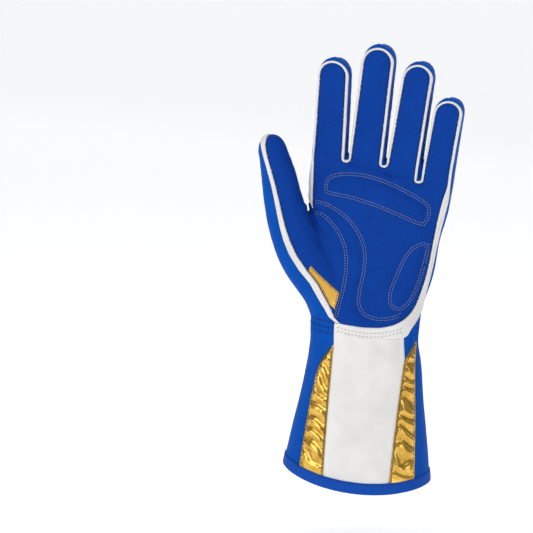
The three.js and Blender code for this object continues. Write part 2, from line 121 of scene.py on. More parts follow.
# Palm: height as a share of the palm, spread from wrist 0 to finger roots 1,
# shift as a share of the palm's width, thinning (0 wrist, 1 palm, 2 finger roots)
PALM_ROWS = (
    (0.0, 0.0, -0.022, 0.0),
    (0.05, 0.02, -0.022, 0.1),
    (0.18, 0.12, -0.018, 0.42),
    (0.36, 0.4, -0.006, 0.8),
    (0.58, 0.62, -0.014, 1.0),
    (0.82, 0.86, -0.002, 1.3),
    (1.0, 0.91, 0.004, 1.96),
)
KNEE = 0.58

# Finger up to the start of its round tip: share of that length, width, depth, curl
FINGER_ROWS = (
    (-0.42, 1.02, 0.96, 0.0),
    (0.0, 1.03, 1.0, 0.01),
    (0.3, 1.0, 1.01, 0.12),
    (0.42, 0.985, 0.985, 0.22),
    (0.56, 0.985, 1.0, 0.36),
    (0.78, 0.97, 0.98, 0.62),
    (1.0, 0.955, 0.97, 0.86),
)

# Thumb: out, up, width, depth, forward, each a share of its named size
THUMB_ROWS = (
    (0.0, 0.0, 1.3, 1.35, 0.1),
    (0.13, 0.15, 1.46, 1.5, 0.2),
    (0.465, 0.339, 1.46, 1.42, 0.4),
    (0.66, 0.5, 1.29, 1.22, 0.62),
    (0.77, 0.636, 1.13, 1.05, 0.8),
    (0.852, 0.77, 1.0, 1.0, 0.92),
    (0.925, 0.87, 0.86, 0.94, 1.0),
)
THUMB_ROOT = (-0.225, 0.035)

CUFF_SQUARE = 2.2
PALM_SQUARE = 2.5
FINGER_SQUARE = 4.4
THUMB_SQUARE = 2.35


def column(rows, i):
    return np.array([row[i] for row in rows], float)


def glide(places, values, place):
    """Value at a place between rows, without corners at the rows."""
    places = np.asarray(places, float)
    values = np.asarray(values, float)
    slopes = np.gradient(values, places)
    place = np.asarray(place, float)
    i = np.clip(np.searchsorted(places, place) - 1, 0, len(places) - 2)
    gap = places[i + 1] - places[i]
    t = np.clip((place - places[i]) / gap, 0, 1)
    back = 1 - t
    return (
        values[i] * back * back * (1 + 2 * t)
        + values[i + 1] * t * t * (3 - 2 * t)
        + slopes[i] * gap * t * back * back
        - slopes[i + 1] * gap * t * t * back
    )


def ease(low, high, value):
    t = np.clip((value - low) / (high - low), 0, 1)
    return t * t * (3 - 2 * t)


def straight(places, values, place):
    """Value at a place on the straight lines between rows, and past their ends."""
    i = np.clip(np.searchsorted(places, place) - 1, 0, len(places) - 2)
    share = (place - places[i]) / (places[i + 1] - places[i])
    return values[i] + share * (values[i + 1] - values[i])


# The hand and cuff as one row of sections
def body_table():
    taper = column(CUFF_ROWS, 1)
    cuff = np.stack([
        column(CUFF_ROWS, 0) * CUFF_HEIGHT,
        column(CUFF_ROWS, 2) * WRIST_WIDTH,
        (HEM_WIDTH + (WRIST_WIDTH - HEM_WIDTH) * taper) / 2,
        (HEM_DEPTH + (WRIST_DEPTH - HEM_DEPTH) * taper) / 2,
        np.full(len(taper), CUFF_SQUARE),
    ])
    spread = column(PALM_ROWS, 1)
    thinning = column(PALM_ROWS, 3)
    depth = np.interp(thinning, (0, 1, 2), (WRIST_DEPTH, PALM_DEPTH, FINGER_DEPTH + 1))
    palm = np.stack([
        CUFF_HEIGHT + column(PALM_ROWS, 0) * PALM_HEIGHT,
        column(PALM_ROWS, 2) * PALM_WIDTH,
        (WRIST_WIDTH + (PALM_WIDTH - WRIST_WIDTH) * spread) / 2,
        depth / 2,
        np.full(len(spread), PALM_SQUARE),
    ])
    return np.concatenate([cuff, palm], axis=1)


BODY = body_table()
ROOT_HEIGHT = CUFF_HEIGHT + PALM_HEIGHT
ROOT_SHIFT = BODY[1, -1]


def body_at(height):
    """Middle, half width, half depth and squareness of the hand at a height."""
    return [glide(BODY[0], BODY[k], height) for k in range(1, 5)]


def across_at(twist, tilt):
    turn = np.radians(HAND_TWIST * np.asarray(twist, float))
    slope = np.radians(CROTCH_SLOPE * np.asarray(tilt, float))
    return np.stack([np.cos(turn) * np.cos(slope), -np.sin(turn) * np.cos(slope), -np.sin(slope)], -1)


ROOT_ACROSS = across_at(1, 1)
FINGER_ACROSS = across_at(FINGER_TWIST / HAND_TWIST, 0)[None]


def root_point(share):
    return np.array([ROOT_SHIFT, 0, ROOT_HEIGHT]) + ROOT_ACROSS * share * PALM_WIDTH


# Sections along the hand, a finger or the thumb
Limb = namedtuple("Limb", "at across half_width half_depth square")


def round_tip(limb, lean, height, fullness, steps=14):
    """Closes a limb with a round end that keeps more of its depth than of its width."""
    rise = np.sin(np.linspace(0, math.pi / 2, steps + 1)[1:])
    narrow = np.maximum(1 - rise ** 2.2, 0.0) ** (1 / 2.2)
    thin = np.maximum(1 - rise ** fullness, 0.0) ** (1 / fullness)
    narrow[-1] = 0.03
    thin[-1] = 0.55
    count = len(rise)
    return Limb(
        np.concatenate([limb.at, limb.at[-1] + np.outer(rise * height, lean)]),
        np.concatenate([limb.across, np.repeat(limb.across[-1:], count, 0)]),
        np.concatenate([limb.half_width, limb.half_width[-1] * narrow]),
        np.concatenate([limb.half_depth, limb.half_depth[-1] * thin]),
        np.concatenate([limb.square, np.full(count, limb.square[-1])]),
    )


def body_limb():
    height = np.linspace(BODY[0, 0], ROOT_HEIGHT - 2, 90)
    middle, half_width, half_depth, square = body_at(height)
    palm = (height - CUFF_HEIGHT) / PALM_HEIGHT
    across = across_at(np.clip(palm, 0, 1), np.clip((palm - KNEE) / (1 - KNEE), 0, 1))
    at = np.stack([middle, np.zeros_like(middle), height], -1)
    return Limb(at, across, half_width, half_depth, square)


def finger_row(k, along):
    return glide(column(FINGER_ROWS, 0), column(FINGER_ROWS, k), along)


def finger_line(i, along):
    """Middle of a finger at shares of its straight length."""
    width, length, root, lean = FINGERS[i]
    reach = (length - TIP_SHARE * width) * np.asarray(along, float)
    x, y, z = root_point(root)
    return np.stack([x + lean * reach, y - finger_row(3, along) * FINGER_CURL, z + reach], -1)


def finger_limb(i):
    width = FINGERS[i][0]
    along = np.linspace(FINGER_ROWS[0][0], 1, 36)
    at = finger_line(i, along)
    lean = at[-1] - at[-2]
    limb = Limb(
        at,
        np.repeat(FINGER_ACROSS, len(along), 0),
        finger_row(1, along) * width / 2,
        finger_row(2, along) * FINGER_DEPTH / 2,
        np.full(len(along), FINGER_SQUARE),
    )
    return round_tip(limb, lean / np.linalg.norm(lean), TIP_SHARE * width, 5.0)


def crotch_middle(i):
    """Sideways place of the gap between a finger and the next one."""
    left, right = FINGERS[i], FINGERS[i + 1]
    middle = ((left[2] + right[2]) * PALM_WIDTH + (left[0] - right[0]) / 2) / 2
    return middle * ROOT_ACROSS[0] + ROOT_SHIFT


def web_limb(i):
    """The floor of the gap between two fingers."""
    floor = CROTCH_HEIGHTS[i] - CROTCH_WEB
    height = np.linspace(floor - 16, floor + WEB_RISE, 20)
    back = np.maximum(height - floor, 0) / WEB_RISE
    place = crotch_middle(i)
    half_depth = FINGER_DEPTH / 2 - 0.3
    depth = half_depth * 0.7 * back - place * math.tan(math.radians(HAND_TWIST))
    count = len(height)
    return Limb(
        np.stack([np.full(count, place), depth, height], -1),
        np.repeat(FINGER_ACROSS, count, 0),
        np.full(count, 4.0),
        half_depth * (1 - 0.7 * back),
        np.full(count, FINGER_SQUARE),
    )


def thumb_row(k, up):
    return glide(column(THUMB_ROWS, 1), column(THUMB_ROWS, k), up)


def thumb_line(up):
    """Middle of the thumb at shares of its rise."""
    (before_out, before), (end_out, end) = (row[:2] for row in THUMB_ROWS[-2:])
    inside = np.clip(up, 0, end)
    past = np.asarray(up, float) - inside
    out = thumb_row(0, inside) + past * ((end_out - before_out) / (end - before))
    return np.stack([
        THUMB_ROOT[0] * PALM_WIDTH - out * THUMB_REACH,
        -thumb_row(4, inside) * THUMB_FORWARD,
        CUFF_HEIGHT + THUMB_ROOT[1] * PALM_HEIGHT + np.asarray(up, float) * THUMB_RISE,
    ], -1)


def thumb_limb():
    up = np.linspace(0, THUMB_ROWS[-1][1], 40)
    at = thumb_line(up)
    along = np.gradient(at, axis=0)
    along /= np.linalg.norm(along, axis=1)[:, None]
    across = -np.cross(np.array([0.0, -1.0, 0.0]), along)
    across /= np.linalg.norm(across, axis=1)[:, None]
    limb = Limb(
        at,
        across,
        thumb_row(2, up) * THUMB_WIDTH / 2,
        thumb_row(3, up) * THUMB_DEPTH / 2,
        np.full(len(up), THUMB_SQUARE),
    )
    return round_tip(limb, along[-1], THUMB_TIP_SHARE * THUMB_WIDTH, 3.2)


def add_limb(bm, limb, sides):
    """A closed tube through a limb's sections, bent from a grid."""
    rows = len(limb.at)
    made = bmesh.ops.create_grid(bm, x_segments=sides, y_segments=rows - 1, size=1.0)["verts"]
    for vert in made:
        turn = (vert.co.x + 1) * math.pi
        k = round((vert.co.y + 1) / 2 * (rows - 1))
        power = 2 / limb.square[k]
        out = math.copysign(abs(math.cos(turn)) ** power, math.cos(turn)) * limb.half_width[k]
        fore = math.copysign(abs(math.sin(turn)) ** power, math.sin(turn)) * limb.half_depth[k]
        across = limb.across[k]
        flat = math.hypot(across[0], across[1])
        place = limb.at[k] + across * out + np.array([across[1], -across[0], 0]) / flat * fore
        vert.co = place
    bmesh.ops.remove_doubles(bm, verts=made, dist=1e-4)
    loose = [edge for edge in bm.edges if edge.is_boundary]
    bmesh.ops.holes_fill(bm, edges=loose, sides=0)


ALL_AXES = {"use_axis_x": True, "use_axis_y": True, "use_axis_z": True}


def soften(bm, verts, rounds):
    for _ in range(rounds):
        bmesh.ops.smooth_vert(bm, verts=verts, factor=0.5, **ALL_AXES)


def mesh_from(name, bm):
    mesh = bpy.data.meshes.new(name)
    bm.to_mesh(mesh)
    bm.free()
    return mesh


def add_object(name, data):
    made = bpy.data.objects.new(name, data)
    bpy.context.scene.collection.objects.link(made)
    return made


def glove_skin():
    """The whole glove as one even skin."""
    bm = bmesh.new()
    add_limb(bm, body_limb(), 96)
    for i in range(len(FINGERS)):
        add_limb(bm, finger_limb(i), 48)
    for i in range(len(CROTCH_HEIGHTS)):
        add_limb(bm, web_limb(i), 24)
    add_limb(bm, thumb_limb(), 56)
    bmesh.ops.recalc_face_normals(bm, faces=bm.faces)
    mesh = mesh_from("skin", bm)
    shell = add_object("skin", mesh)
    remesh = shell.modifiers.new("even", "REMESH")
    remesh.mode = "VOXEL"
    remesh.voxel_size = SKIN_STEP
    shape = shell.evaluated_get(bpy.context.evaluated_depsgraph_get())
    skin = bmesh.new()
    skin.from_mesh(shape.to_mesh())
    shape.to_mesh_clear()
    bpy.data.objects.remove(shell)
    bpy.data.meshes.remove(mesh)
    soften(skin, skin.verts, 5)
    return skin


# Places on the glove as seen from the front: x, z and the radius of the outline's corner there
def on_body(u, height, radius):
    middle, half_width = body_at(min(height, ROOT_HEIGHT))[:2]
    return (float(middle + u * half_width), height, radius)


def on_cuff(u, v, radius=0.0):
    return on_body(u, v * CUFF_HEIGHT, radius)


def on_palm(u, v, radius=0.0):
    return on_body(u, CUFF_HEIGHT + v * PALM_HEIGHT, radius)


def on_thumb(u, v, radius=0.0):
    before, here, after = thumb_line(np.array([v - 0.04, v, v + 0.04]))
    along = after - before
    along /= np.linalg.norm(along)
    sideways = u * float(thumb_row(2, min(v, THUMB_ROWS[-1][1]))) * THUMB_WIDTH / 2
    return (here[0] + along[2] * sideways, here[2] - along[0] * sideways, radius)


def drawn(place, *corners):
    return [place(*corner) for corner in corners]


def finger_top(i, side):
    width, _, _, lean = FINGERS[i]
    end = finger_line(i, 1.0)
    half = FINGER_ROWS[-1][1] * width / 2
    tip = TIP_SHARE * width
    return (float(end[0] + lean * tip + side * half), float(end[2] + tip * 0.985 - TIP_DROP), half)


def finger_side(i, side):
    return root_point(FINGERS[i][2])[0] + side * FINGERS[i][0] / 2


def finger_root(i, side):
    other = i + side
    if not 0 <= other < len(FINGERS):
        return (finger_side(i, side), root_point(FINGERS[i][2])[2], 0.0)
    crotch = (finger_side(i, side) + finger_side(other, -side)) / 2
    return (crotch - side * 0.9, CROTCH_HEIGHTS[min(i, other)], 0.5)


def finger_outline():
    return [
        corner
        for i in (3, 2, 1, 0)
        for corner in (finger_root(i, 1), finger_top(i, 1), finger_top(i, -1), finger_root(i, -1))
    ]


def inset(corners, distance):
    """Moves every side of an outline inwards, or outwards where the distance is negative."""
    count = len(corners)
    lines = []
    for i, (x, z, _) in enumerate(corners):
        after_x, after_z, _ = corners[(i + 1) % count]
        length = math.hypot(after_x - x, after_z - z)
        along = ((after_x - x) / length, (after_z - z) / length)
        lines.append((along, (x - along[1] * distance, z + along[0] * distance)))
    moved = []
    for i in range(count):
        (ax, az), (sx, sz) = lines[i - 1]
        (bx, bz), (ex, ez) = lines[i]
        turn = ax * bz - az * bx
        gap_x, gap_z = ex - sx, ez - sz
        step = gap_x * ax + gap_z * az if abs(turn) < 1e-3 else (gap_x * bz - gap_z * bx) / turn
        radius = max(corners[i][2] - math.copysign(distance, distance * turn), 0.0)
        moved.append((sx + ax * step, sz + az * step, radius))
    return moved


CURVE_HANDLE = 0.5523


def rounded(corners, steps=8):
    """An outline's points, with its corners rounded."""
    points = []
    count = len(corners)
    for i, (x, z, radius) in enumerate(corners):
        corner = np.array([x, z])
        if radius < 0.05:
            points.append(corner)
            continue
        ends = []
        for other in (corners[i - 1], corners[(i + 1) % count]):
            away = np.array(other[:2]) - corner
            length = np.linalg.norm(away)
            ends.append(corner + away / length * min(radius, length * 0.49))
        first, last = (end + (corner - end) * CURVE_HANDLE for end in ends)
        for t in np.linspace(0, 1, steps + 1):
            back = 1 - t
            points.append(
                back ** 3 * ends[0] + 3 * back * back * t * first
                + 3 * back * t * t * last + t ** 3 * ends[1]
            )
    return np.array(points)


NEARBY = 12
FAR_OFF = 30.0


def signed(points, outline):
    """Distance of points to an outline, negative inside it."""
    result = np.full(len(points), FAR_OFF)
    low = outline.min(0) - NEARBY
    high = outline.max(0) + NEARBY
    near = np.all((points > low) & (points < high), axis=1)
    p = points[near]
    best = np.full(len(p), 1e9)
    inside = np.zeros(len(p), bool)
    for a, b in zip(outline, np.roll(outline, -1, axis=0)):
        edge = b - a
        t = np.clip(((p - a) @ edge) / max(edge @ edge, 1e-12), 0, 1)
        gap = p - a - t[:, None] * edge
        best = np.minimum(best, np.einsum("ij,ij->i", gap, gap))
        if a[1] != b[1]:
            crosses = (p[:, 1] > a[1]) != (p[:, 1] > b[1])
            x = a[0] + (p[:, 1] - a[1]) / (b[1] - a[1]) * (b[0] - a[0])
            inside ^= crosses & (p[:, 0] < x)
    result[near] = np.sqrt(best) * np.where(inside, -1, 1)
    return result


def shifted(line, distance):
    return [(x + distance, z, 0.0) for x, z, _ in line]


WEB_LOW = CUFF_HEIGHT + 0.62 * PALM_HEIGHT
THUMB_BORDER = -47
THUMB_TOP = 246


def nearest_finger(points):
    """Sideways gap to the nearest finger's middle line, and the point's share of that finger's length."""
    x, z = points[:, 0], points[:, 2]
    best = np.full(len(points), 1e9)
    share = np.zeros(len(points))
    for width, length, root, lean in FINGERS:
        start = root_point(root)
        reach = length - TIP_SHARE * width
        up = (z - start[2]) / reach
        gap = np.abs(x - start[0] - lean * up * reach)
        share = np.where(gap < best, up, share)
        best = np.minimum(best, gap)
    return best, share


def hand_frame(points):
    """Depth behind the glove's middle surface, and x and z as the hand shows them before it turns."""
    x, z = points[:, 0], points[:, 2]
    share = np.clip((z - CUFF_HEIGHT) / PALM_HEIGHT, 0, 1)
    depth = -x * np.tan(np.radians(HAND_TWIST * share))
    along = np.maximum(nearest_finger(points)[1], -0.4)
    curl = straight(column(FINGER_ROWS, 0), column(FINGER_ROWS, 3), along)
    depth = depth - np.where(z > ROOT_HEIGHT - 15, curl * FINGER_CURL, 0)
    middle, half_width = body_at(np.clip(z, 0, ROOT_HEIGHT))[:2]
    up = (z - thumb_line(0.0)[2]) / THUMB_RISE
    thumb = thumb_line(np.clip(up, 0, 1))[:, 1]
    above_web = ease(WEB_LOW, WEB_LOW + 14, z)
    border = (middle - half_width + 6) * (1 - above_web) + THUMB_BORDER * above_web
    apart = np.clip((border - x) / (6 - 2 * above_web), 0, 1) * (z < THUMB_TOP)
    behind = points[:, 1] - depth * (1 - apart) - thumb * apart
    turn = HAND_TWIST * share + (FINGER_TWIST - HAND_TWIST) * ease(ROOT_HEIGHT - 14, ROOT_HEIGHT + 8, z)
    turned = x - behind * np.tan(np.radians(turn)) * (1 - apart)
    return behind, np.stack([turned, z], -1)


# Outlines of the panels, each counterclockwise as seen from the front
THUMB_SEAM = [
    *drawn(on_palm, (-0.44, -0.02), (-0.44, 0.045), (-0.54, 0.075), (-0.66, 0.145)),
    *drawn(
        on_thumb, (-0.05, 0.21), (-0.1, 0.28), (-0.14, 0.36), (-0.15, 0.43), (-0.14, 0.5), (-0.12, 0.57),
        (-0.12, 0.64), (-0.17, 0.72), (-0.26, 0.8), (-0.34, 0.87), (-0.3, 0.93), (-0.1, 0.968),
        (0.3, 0.985), (0.7, 0.975)),
]
THUMB_FRONT = [
    *reversed(THUMB_SEAM[1:]),
    *drawn(on_palm, (-0.2, 0.04), (-0.2, 0.6), (-0.86, 0.68, 2)),
    *drawn(on_thumb, (1.25, 0.6, 2), (1.8, 0.87), (1.2, 0.96)),
]


def hand_outline(rims, left, bottom):
    """The hand with its fingers, from a line along its bottom and rims beside its right and left edges."""
    right = [on_palm(1 - rim, share, 20) for rim, share in zip(rims, (0.27, 0.4, 0.6, 0.82))]
    return [
        *bent(bottom), *right, *finger_outline(),
        *drawn(on_palm, (left - 1, 0.82, 10), (left - 0.985, 0.67, 2), (-0.6, 0.3)),
    ]


def bent(line, radius=6.0):
    return [(x, z, radius) for x, z in line]


LEFT_CORNER = on_palm(-0.44, 0)[0] - EDGE_INSET
PALM_BOTTOM = (
    (LEFT_CORNER - 1.5, 111.4), (-4.6, 110.2), (9.4, 110.8), (19.6, 113.6), (26.8, 117.8), (33.0, 125.6),
)
BAND_BOTTOM = ((LEFT_CORNER, 106.6), (0.0, 104.6), (27.8, 105.4), (30.4, 112.5), (35.6, 121.0))
PANEL_INSET = EDGE_INSET + PIPING_WIDTH
PALM_OUTLINE = inset(hand_outline((0.055, 0.045, 0.04, 0.055), 0.02, PALM_BOTTOM), PANEL_INSET)
PIPING_OUTLINE = inset(hand_outline((0.015, 0.014, 0.013, -0.005), -0.04, BAND_BOTTOM), EDGE_INSET)
THUMB_PIPING_WIDTHS = (3.1, 4.3, 5.0, 6.0, 5.8, 5.3, 4.7, 4.1, 3.7, 3.4, 3.2, 3.0, 2.8)
THUMB_PIPING = [
    *THUMB_SEAM[1:],
    *drawn(on_thumb, (0.9, 1.1), (-0.4, 1.1), (-0.62, 0.92)),
    *reversed([(x - width, z, 0.0) for (x, z, _), width in zip(THUMB_SEAM[1:], THUMB_PIPING_WIDTHS)]),
]
WRIST_BAND = bent((
    (-22.1, 107.5), (0.0, 105.5), (25.0, 106.3), (25.0, 115.0), (-17.6, 115.0), (-17.6, 113.0),
    (-22.1, 113.0),
), 0.0)

# Pads and insert as places in millimetres, counterclockwise as seen from the front
KNUCKLE_LINE = (
    (-37.1, 201.2), (-34.9, 198.2), (-29.1, 197.6), (-18.6, 196.8), (-8.2, 194.8), (2.4, 192.3),
    (13.0, 188.9), (23.6, 185.2), (30.9, 182.7), (34.0, 184.1), (35.9, 188.1), (36.8, 194.8),
    (35.1, 198.6), (30.3, 201.4), (20.9, 206.0), (10.2, 210.1), (-0.4, 213.2), (-10.8, 214.8),
    (-21.1, 214.6), (-30.2, 213.0), (-35.1, 209.9), (-36.7, 205.9),
)
THUMB_INNER_LINE = (
    (-42.0, 183.7), (-37.7, 183.2), (-32.0, 180.2), (-26.2, 174.5), (-22.1, 168.2), (-19.5, 161.0),
    (-18.3, 152.4), (-18.6, 143.4), (-19.5, 134.4), (-21.2, 126.2), (-22.7, 116.9),
)
THUMB_OUTER_LINE = (
    (22.5, 124.6), (17.5, 121.6), (9.8, 119.7), (2.0, 120.4), (-2.6, 122.6), (-5.5, 127.0),
    (-5.9, 133.5), (-4.6, 141.5), (-3.3, 152.1), (-3.6, 161.2), (-6.3, 170.3), (-10.9, 177.8),
    (-17.9, 185.1), (-26.6, 190.2), (-35.3, 193.5), (-42.4, 193.6),
)
HEEL_LINE = (
    (31.0, 172.6), (23.5, 167.4), (19.0, 157.9), (15.7, 148.4), (13.0, 140.3), (12.0, 132.3),
    (13.8, 127.3), (18.6, 124.3), (23.7, 125.4), (28.6, 131.0), (32.5, 140.5), (34.9, 151.3),
    (36.8, 161.9), (37.7, 168.5), (35.5, 172.3),
)
SHORT_SEAM = ((36.1, 171.1), (40.9, 171.6))
PADS = {
    "knuckle_pad": bent(KNUCKLE_LINE),
    "thumb_pad": [
        *bent(THUMB_INNER_LINE), (-22.8, 104.0, 0.0), (27.0, 104.0, 0.0), *bent(THUMB_OUTER_LINE),
        (-54.0, 193.6, 0.0), (-54.0, 183.5, 0.0),
    ],
    "heel_pad": bent(HEEL_LINE),
}
GOLD_INSERT = [
    (-22.8, 122.1, 0.5), (-20.3, 133.3, 0.8), (-41.4, 150.3, 0.4), *shifted(reversed(THUMB_SEAM[3:6]), 0.6),
]
BACK_STRIP = [
    on_cuff(-0.69, 0.77), *drawn(on_palm, (-0.7, 0.05), (-0.72, 0.3), (-0.72, 0.6), (-0.74, 0.94)),
]
BACK_STRIP_WIDTH = 3.2
BACK_SEAM = drawn(on_cuff, (-0.57, 0.72), (-0.05, 0.74, 12), (0.45, 0.84, 12), (0.9, 1.0, 4))
BACK_INSET = EDGE_INSET + 0.8
BACK_OUTLINE = inset([
    *BACK_SEAM, *drawn(on_palm, (1, 0.04, 4), (1, 0.3, 20), (1, 0.55, 20), (1, 0.8, 20)),
    *finger_outline(), on_palm(-0.95, 0.9, 4), *reversed(shifted(BACK_STRIP, -BACK_INSET)),
], BACK_INSET)
FOIL_PATCH = drawn(
    on_thumb, (-1.3, 0.72), (-0.3, 0.62, 2), (0.5, 0.45, 2), (0.55, 0.78, 6), (0.35, 0.92, 8),
    (-0.3, 0.95, 6), (-1.3, 0.92))
CUFF_FRONT = {
    "cuff_foil_palm_thumb": drawn(
        on_cuff, (-0.79, -0.2), (-0.4, -0.2), (-0.49, 0.45, 10), (-0.545, 0.91, 0.5), (-0.68, 0.84, 5),
        (-0.8, 0.75, 8), (-0.82, 0.48, 20)),
    "cuff_foil_palm_little": drawn(
        on_cuff, (0.435, -0.2), (0.82, -0.2), (0.877, 0.5, 20), (0.925, 0.84, 10), (0.99, 0.955, 1),
        (0.74, 0.845, 1), (0.565, 0.45, 10)),
    "cuff_palm_panel": drawn(
        on_cuff, (-0.43, -0.2), (0.47, -0.2), (0.6, 0.45), (0.745, 0.845), (0.75, 1), (-0.545, 1),
        (-0.545, 0.91), (-0.52, 0.45)),
}
CUFF_BACK = {
    "cuff_foil_back_thumb": drawn(
        on_cuff, (-0.8, -0.2), (-0.47, -0.2), (-0.57, 0.76, 1), (-0.84, 0.88, 3), (-0.86, 0.73, 10)),
    "cuff_foil_back_little": drawn(
        on_cuff, (0.5, -0.2), (0.78, -0.2), (0.88, 0.81, 10), (0.93, 0.96, 1), (0.7, 0.79, 2)),
    "cuff_back_panel": drawn(
        on_cuff, (-0.48, -0.2), (0.52, -0.2), (0.71, 0.79), (0.9, 1.0), (-0.66, 1), (-0.66, 0.76)),
}
FOILS = {name: line for name, line in {**CUFF_FRONT, **CUFF_BACK}.items() if "foil" in name}
WEB_TOP = on_palm(0, 0.66)[1]


def centre_line(i):
    end = finger_line(i, 1.0)
    start = finger_line(i, 0.0)
    return (float(end[0] + 1), 320.0, 0.0), (float(start[0]), float(start[2] - 9), 0.0)


def between_fingers(i):
    left_top, left_low = centre_line(i)
    right_top, right_low = centre_line(i + 1)
    return [left_low, right_low, right_top, left_top]


INDEX_TOP, INDEX_LOW = centre_line(0)
WEB_OUTLINE = [
    *drawn(on_palm, (-0.9, 0.1), (-0.6, 0.1)), INDEX_LOW, INDEX_TOP, (on_thumb(0, 1.2)[0], 320.0, 0.0),
    *drawn(on_thumb, (-0.1, 1.2), (-0.1, 0.9), (0.2, 0.5)), on_palm(-0.93, 0.3),
]
LITTLE_SIDE = [*bent(((0.0, -20.0), (90.0, -20.0), (90.0, 320.0)), 0.0), *centre_line(3)]
EVERYWHERE = bent(((-200.0, -50.0), (200.0, -50.0), (200.0, 400.0), (-200.0, 400.0)), 0.0)


def region(*outlines, side=0, only=None):
    """Field that is negative inside any of the outlines, on one side of the glove."""
    shapes = [rounded(outline) for outline in outlines]

    def field(points):
        behind, turned = hand_frame(points)
        flat = turned if side else points[:, [0, 2]]
        value = signed(flat, shapes[0])
        for shape in shapes[1:]:
            value = np.minimum(value, signed(flat, shape))
        if side:
            value = np.maximum(value, side * behind)
        if only is not None:
            close = value < 3
            value[close] = np.maximum(value[close], only(points[close]))
        return value

    return field


def behind_or_above_web(points):
    return np.minimum(-hand_frame(points)[0], WEB_TOP - points[:, 2])


PALM_SIDE = 1
BACK_SIDE = -1
on_palm_panel = region(PALM_OUTLINE, THUMB_FRONT, side=PALM_SIDE)
PANELS = {
    **{
        name: region(outline, side=PALM_SIDE, only=on_palm_panel)
        for name, outline in (("palm_gold_insert", GOLD_INSERT), *PADS.items())
    },
    "palm_panel": on_palm_panel,
    "thumb_edge_piping": region(THUMB_PIPING, side=PALM_SIDE),
    "palm_edge_piping": region(PIPING_OUTLINE, WRIST_BAND, side=PALM_SIDE),
    **{name: region(outline, side=PALM_SIDE) for name, outline in CUFF_FRONT.items()},
    "back_edge_strip": region(
        [*BACK_STRIP, *reversed(shifted(BACK_STRIP, -BACK_STRIP_WIDTH))], side=BACK_SIDE),
    "back_panel": region(BACK_OUTLINE, side=BACK_SIDE),
    "thumb_foil_patch": region(FOIL_PATCH, side=BACK_SIDE),
    **{name: region(outline, side=BACK_SIDE) for name, outline in CUFF_BACK.items()},
    "fourchette_index_middle": region(between_fingers(0)),
    "fourchette_middle_ring": region(between_fingers(1)),
    "fourchette_ring_little": region(between_fingers(2)),
    "web_gusset": region(WEB_OUTLINE, only=behind_or_above_web),
    "hand_side_little": region(LITTLE_SIDE),
    "hand_side_thumb": region(EVERYWHERE),
}
PIPED = ("palm_edge_piping", "thumb_edge_piping")
FOILED = ("thumb_foil_patch", *FOILS)


def hem_height(x):
    share = x / 50.5
    return HEM_RISE * share ** 2 - HEM_TILT * share


# Cutting the skin into panels
SNAP_SHARE = 0.14
CRUMB_FACES = 400


def places_of(bm):
    bm.verts.ensure_lookup_table()
    bm.verts.index_update()
    return np.array([vert.co[:] for vert in bm.verts])


def cut_along(bm, field, label):
    """Adds edges where a field is nought, in the faces that no panel has yet."""
    points = places_of(bm)
    free = np.array([not all(face[label] for face in vert.link_faces) for vert in bm.verts])
    value = np.full(len(points), 9.0)
    value[free] = field(points[free])
    value[np.abs(value) < 1e-6] = 1e-6
    crossings = []
    pull = {}
    for i in np.nonzero((value < 0) & (value > -2.5))[0].tolist():
        vert = bm.verts[i]
        for edge in vert.link_edges:
            other = edge.other_vert(vert)
            if value[other.index] < 0 or all(face[label] for face in edge.link_faces):
                continue
            share = value[i] / (value[i] - value[other.index])
            crossings.append((edge, vert, other, share))
            for end, far, part in ((vert, other, share), (other, vert, 1 - share)):
                if part < SNAP_SHARE and part < pull.get(end, (1, None))[0]:
                    pull[end] = (part, far)
    moves = [(end, end.co.lerp(far.co, part)) for end, (part, far) in pull.items()]
    for end, place in moves:
        end.co = place
    cuts = [
        bmesh.utils.edge_split(edge, vert, share)[1]
        for edge, vert, other, share in crossings
        if vert not in pull and other not in pull
    ]
    closed = [face for face in bm.faces if face[label]]
    bmesh.ops.connect_verts(bm, verts=cuts + list(pull), faces_exclude=closed)


def centres_of(faces):
    return np.array([face.calc_center_median()[:] for face in faces])


def claim(bm, field, label, number):
    """Gives a panel the free faces inside its field."""
    faces = [face for face in bm.faces if not face[label]]
    for face, value in zip(faces, field(centres_of(faces))):
        if value < 0:
            face[label] = number


def below_shell(points):
    return hem_height(points[:, 0]) + SHELL_END - points[:, 2]


def cut_panels(skin):
    label = skin.faces.layers.int.new("panel")
    outward = skin.verts.layers.float_vector.new("outward")
    skin.normal_update()
    for vert in skin.verts:
        vert[outward] = vert.normal
    cut_along(skin, below_shell, label)
    low = [face for face, below in zip(skin.faces, below_shell(centres_of(skin.faces))) if below > 0]
    bmesh.ops.delete(skin, geom=low, context="FACES")
    for number, field in enumerate(PANELS.values(), 1):
        if number < len(PANELS):
            cut_along(skin, field, label)
        claim(skin, field, label, number)


def faces_beside(face):
    return [beside for edge in face.edges for beside in edge.link_faces]


def tidy_crumbs(skin):
    """Hands patches that are cut off from their panel to the panel round them."""
    label = skin.faces.layers.int["panel"]
    seen = set()
    groups = {}
    for start in skin.faces:
        if start in seen:
            continue
        number = start[label]
        seen.add(start)
        patch = [start]
        for face in patch:
            for beside in faces_beside(face):
                if beside not in seen and beside[label] == number:
                    seen.add(beside)
                    patch.append(beside)
        groups.setdefault(number, []).append(patch)
    for number, patches in groups.items():
        largest = max(len(patch) for patch in patches)
        for patch in patches:
            if len(patch) == largest or len(patch) > CRUMB_FACES:
                continue
            numbers = Counter(other[label] for face in patch for other in faces_beside(face))
            del numbers[number]
            if numbers:
                taker = max(numbers, key=numbers.get)
                for face in patch:
                    face[label] = taker


